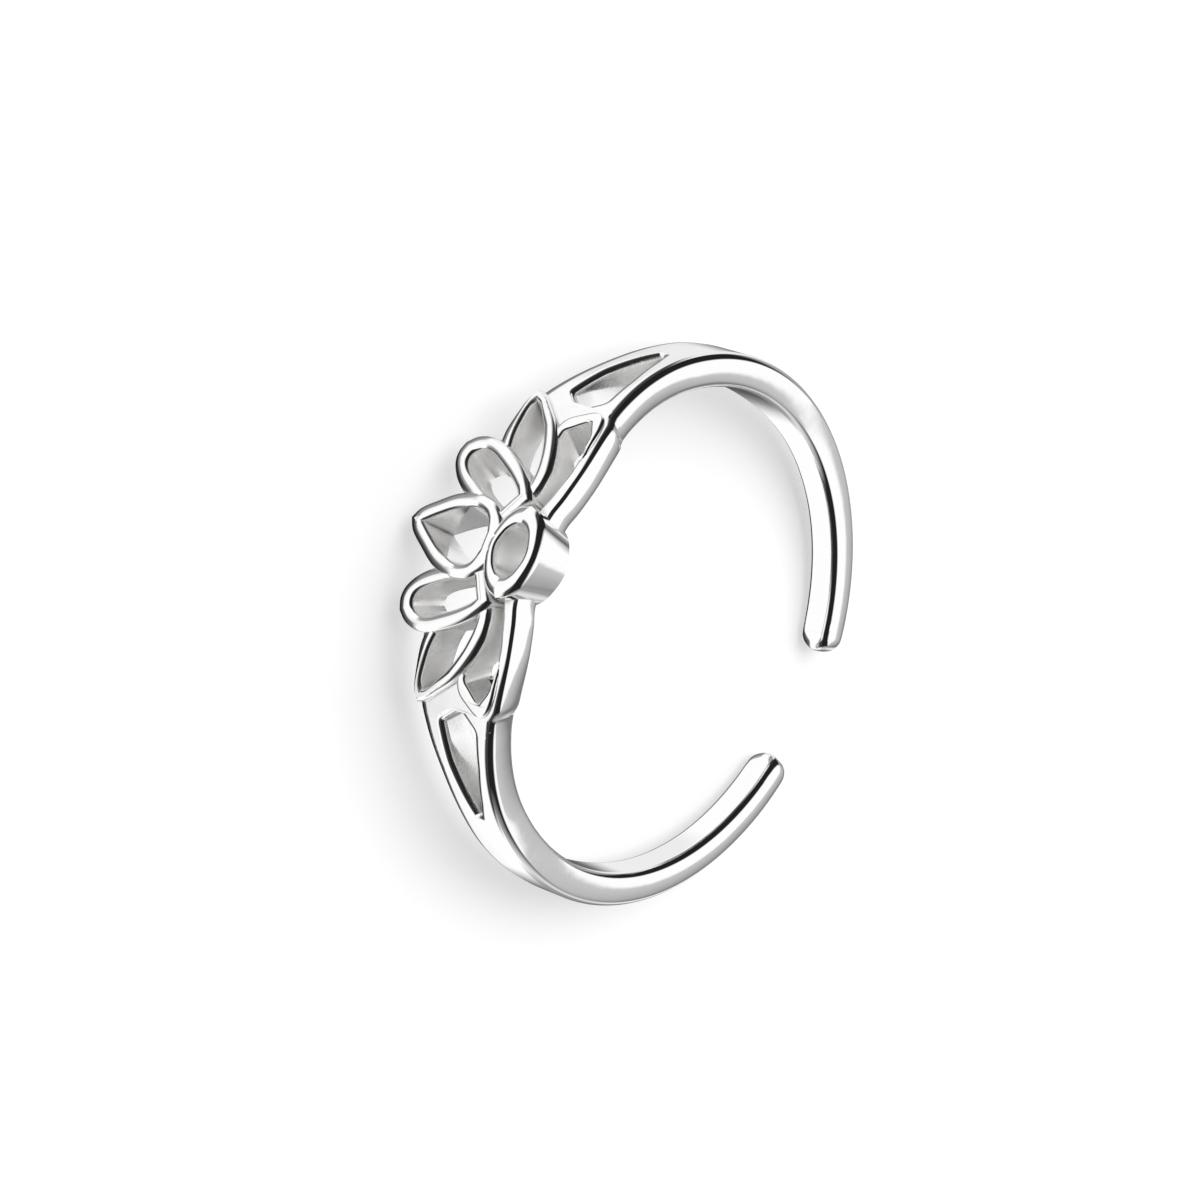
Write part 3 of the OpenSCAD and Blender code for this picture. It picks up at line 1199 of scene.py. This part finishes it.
@dataclass
class Studio:
    """Floor, soft light and camera. The camera's angles are measured in the ring's own frame, before it lies down."""

    ring: Ring
    azimuth: float = 4.4
    elevation: float = 36.79
    roll: float = 108.92
    distance: float = 105.5
    focal_px: float = 3548.9
    image_px: float = 1200
    centre_px: Point = (666.9, 629.9)
    sensor_w: float = 36
    # Nearest and farthest that the camera sees, and half the floor's width, in metres
    clip: Point = (0.005, 5)
    floor_half: float = 0.6
    lamp_from: tuple[float, float, float] = (-0.5, -0.1, 0.85)
    lamp_power: float = 2.6
    lamp_spread: float = 60
    tent_power: float = 1.08

    def view(self) -> Matrix:
        """Works out how the camera is turned.

        Returns:
            Its turn, whose third column points from the ring to the camera.
        """
        a, e = math.radians(self.azimuth), math.radians(self.elevation)
        back = Vector((math.sin(a) * math.cos(e), -math.cos(a) * math.cos(e), math.sin(e)))
        turned = back.to_track_quat("Z", "Y").to_matrix().to_4x4()
        return self.ring.tilt().to_3x3().to_4x4() @ turned @ Matrix.Rotation(math.radians(self.roll), 4, "Z")

    def camera(self) -> None:
        """Places the camera at the photograph's angle."""
        data = bpy.data.cameras.new("camera")
        data.sensor_width = self.sensor_w
        data.lens = self.focal_px / self.image_px * self.sensor_w
        data.shift_x = 0.5 - self.centre_px[0] / self.image_px
        data.shift_y = self.centre_px[1] / self.image_px - 0.5
        data.clip_start, data.clip_end = self.clip
        obj = bpy.data.objects.new("camera", data)
        view = self.view()
        place = self.ring.tilt().to_translation() + view.col[2].to_3d() * self.distance
        obj.matrix_world = Matrix.Translation(place * MM) @ view
        bpy.context.scene.collection.objects.link(obj)
        bpy.context.scene.camera = obj

    def floor(self) -> None:
        """Lays the plain pale floor, which the silver doesn't mirror: it mirrors the tent all round instead."""
        bm = bmesh.new()
        bmesh.ops.create_grid(bm, x_segments=1, y_segments=1, size=self.floor_half)
        obj = Flat.to_object(bm, "floor")
        obj.visible_glossy = False
        obj.data.materials.append(FloorFinish().material())

    def lamp(self) -> None:
        """Hangs a broad soft lamp over the floor, which throws the ring's faint shadow."""
        data = bpy.data.lights.new("soft_lamp", "SUN")
        data.energy, data.angle = self.lamp_power, math.radians(self.lamp_spread)
        obj = bpy.data.objects.new("soft_lamp", data)
        obj.rotation_euler = Vector(self.lamp_from).to_track_quat("Z", "Y").to_euler()
        obj.visible_glossy = False
        bpy.context.scene.collection.objects.link(obj)

    def world(self) -> None:
        """Lights the ring from a white tent with dark and grey cloths, which the silver mirrors as lines."""
        world = bpy.data.worlds.new("tent")
        bpy.context.scene.world = world
        world.use_nodes = True
        nodes = world.node_tree.nodes
        nodes.clear()
        tent = Tent(world.node_tree, self.view(), self.ring.tilt())
        back = nodes.new("ShaderNodeBackground")
        out = nodes.new("ShaderNodeOutputWorld")
        back.inputs["Strength"].default_value = self.tent_power
        tent.join(tent.tone(), back.inputs["Color"])
        tent.join(back.outputs["Background"], out.inputs["Surface"])


@dataclass
class Tent:
    """Light tent round the ring, laid out by which way a mirror must face to show each part to the camera.

    Each pair in a row is how squarely the mirror faces some way, from 0 to 1, and a tone or a share.
    """

    tree: bpy.types.NodeTree
    view: Matrix
    tilt: Matrix
    tint: tuple[float, float, float] = (0.985, 0.99, 1.005)
    # Tones by how squarely a mirror faces the camera
    depth_tones: Rows = ((0, 0.08), (0.1, 0.2), (0.2, 0.36), (0.34, 0.6), (0.46, 0.75), (0.56, 1), (1, 1))
    # Tones for mirrors that face along the ring's axis, by how far they lean to a point above and to the left,
    # how squarely they must face along it, and how far above and to the left that point lies
    side_tones: Rows = ((0, 0.2), (0.09, 0.36), (0.18, 0.5), (0.235, 0.56), (0.262, 1), (1, 1))
    side_share: Rows = ((0.84, 0), (0.9, 1))
    side_lean: Point = (0.5, 0.3)
    # The dark cloth is a hoop: rows along the ring's axis, to the camera and down the picture
    hoop_rows: Rows = ((0, 0), (0.45, 0), (0.51, 0.985), (0.85, 0.985), (0.91, 0), (1, 0))
    hoop_fades: tuple[Rows, Rows] = (((0.36, 0.3), (0.48, 1)), ((0.62, 1), (0.8, 0.3)))
    # The thin dark ring round the lotus's windows: rows out from the lotus and along the axis
    ring_rows: tuple[Rows, Rows] = (
        ((0.42, 0), (0.5, 0.95), (0.78, 0.95), (0.86, 0)),
        ((0.22, 0), (0.34, 1)))
    # The two white screens: rows down the picture or up it, and to the camera
    low_screen: tuple[Rows, Rows] = (((0.36, 0), (0.43, 1)), ((0.05, 0.3), (0.22, 1)))
    high_screen: tuple[Rows, Rows] = (((0.6, 0), (0.75, 0.85)), ((0.05, 0), (0.2, 1)))
    # The grey cloths beyond the ring, on the left and below, which draw its outlines
    far_cloth: Rows = ((0.03, 1), (0.08, 0.36), (0.4, 0.16), (1, 0.1))
    left_cloth: Rows = ((0.665, 1), (0.72, 0.42), (0.85, 0.2), (1, 0.12))
    low_cloth: Rows = ((0.83, 1), (0.9, 0.36), (1, 0.16))

    def join(self, source: bpy.types.NodeSocket, target: bpy.types.NodeSocket) -> None:
        """Links two sockets."""
        self.tree.links.new(source, target)

    def vector(self, operation: str, first: bpy.types.NodeSocket, second: Vector | None = None) -> bpy.types.Node:
        """Adds a vector step.

        Args:
            operation: its name, such as ADD.
            first: the socket that it works on.
            second: the fixed second vector, where it needs one.

        Returns:
            The node.
        """
        node = self.tree.nodes.new("ShaderNodeVectorMath")
        node.operation = operation
        self.join(first, node.inputs[0])
        if second is not None:
            node.inputs[1].default_value = second
        return node

    def ramp(self, source: bpy.types.NodeSocket, rows: Rows) -> bpy.types.NodeSocket:
        """Adds a ramp of tones.

        Args:
            source: the value it reads, from 0 to 1.
            rows: places from 0 to 1, and the tone at each.

        Returns:
            The ramp's colour.
        """
        node = self.tree.nodes.new("ShaderNodeValToRGB")
        stops = node.color_ramp.elements
        while len(stops) < len(rows):
            stops.new(0.5)
        for stop, (place, tone) in zip(stops, rows):
            stop.position, stop.color = place, (tone, tone, tone, 1)
        self.join(source, node.inputs["Fac"])
        return node.outputs["Color"]

    def mix(self, blend: str, first: bpy.types.NodeSocket, second: bpy.types.NodeSocket,
            share: bpy.types.NodeSocket | None = None) -> bpy.types.NodeSocket:
        """Mixes two colours.

        Args:
            blend: the blend type.
            first: the colour below.
            second: the colour above.
            share: how much of the second is mixed in, or None for all of it.

        Returns:
            The mixed colour.
        """
        node = self.tree.nodes.new("ShaderNodeMix")
        node.data_type, node.blend_type = "RGBA", blend
        node.inputs["Factor"].default_value = 1
        if share is not None:
            self.join(share, node.inputs["Factor"])
        self.join(first, node.inputs["A"])
        self.join(second, node.inputs["B"])
        return node.outputs["Result"]

    def crossed(self, first: bpy.types.NodeSocket, second: bpy.types.NodeSocket, rows: tuple[Rows, Rows]
                ) -> bpy.types.NodeSocket:
        """Multiplies two ramps.

        Args:
            first: the value that the first ramp reads.
            second: the value that the second ramp reads.
            rows: the two ramps' rows.

        Returns:
            The product of their tones.
        """
        return self.mix("MULTIPLY", self.ramp(first, rows[0]), self.ramp(second, rows[1]))

    def tone(self) -> bpy.types.NodeSocket:
        """Builds the tent's colour in each direction.

        Returns:
            The colour.
        """
        place = self.tree.nodes.new("ShaderNodeTexCoord").outputs["Generated"]
        right, above, towards = (self.view.col[i].to_3d() for i in range(3))
        front, axis = -self.tilt.col[1].to_3d(), self.tilt.col[2].to_3d()
        between = self.vector("ADD", place, towards).outputs["Vector"]
        facing = self.vector("NORMALIZE", between).outputs["Vector"]
        corner = towards + self.side_lean[0] * above - self.side_lean[1] * right
        depth, along, outwards, far, left, up, down, lean = (
            self.vector("DOT_PRODUCT", facing, way).outputs["Value"]
            for way in (towards, axis, front, -axis, -right, above, -above, corner))
        shade = self.ramp(depth, self.depth_tones)
        for side, rows in ((down, self.low_screen), (up, self.high_screen)):
            shade = self.mix("LIGHTEN", shade, self.crossed(side, depth, rows))
        for side, rows in ((far, self.far_cloth), (left, self.left_cloth), (down, self.low_cloth)):
            shade = self.mix("MULTIPLY", shade, self.ramp(side, rows))
        shade = self.mix("MIX", shade, self.ramp(lean, self.side_tones), self.ramp(along, self.side_share))
        hoop = self.mix("MULTIPLY", self.ramp(along, self.hoop_rows), self.crossed(depth, down, self.hoop_fades))
        dark = self.mix("LIGHTEN", hoop, self.crossed(outwards, along, self.ring_rows))
        left_over = self.tree.nodes.new("ShaderNodeInvert")
        self.join(dark, left_over.inputs["Color"])
        return self.mix("MULTIPLY", self.mix("MULTIPLY", shade, left_over.outputs["Color"]), self.plain())

    def plain(self) -> bpy.types.NodeSocket:
        """Adds the cloth's own faint tint.

        Returns:
            The tint.
        """
        node = self.tree.nodes.new("ShaderNodeRGB")
        node.outputs["Color"].default_value = (*self.tint, 1)
        return node.outputs["Color"]


def main() -> None:
    """Builds the ring, dresses it and sets the stage."""
    logging.basicConfig(level=logging.INFO, format="%(message)s")
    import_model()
    casting = Casting()
    studio = Studio(casting.ring)
    studio.camera()
    piece = casting.build()
    piece.data.materials.clear()
    piece.data.materials.append(SilverFinish().material(HandPolish().group()))
    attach(piece, "root")
    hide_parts("toe_ring")
    LOG.info("casting: %d faces", len(piece.data.polygons))
    studio.floor()
    studio.lamp()
    studio.world()
    bpy.context.scene.view_settings.view_transform = "Standard"


if __name__ == "__main__":
    main()
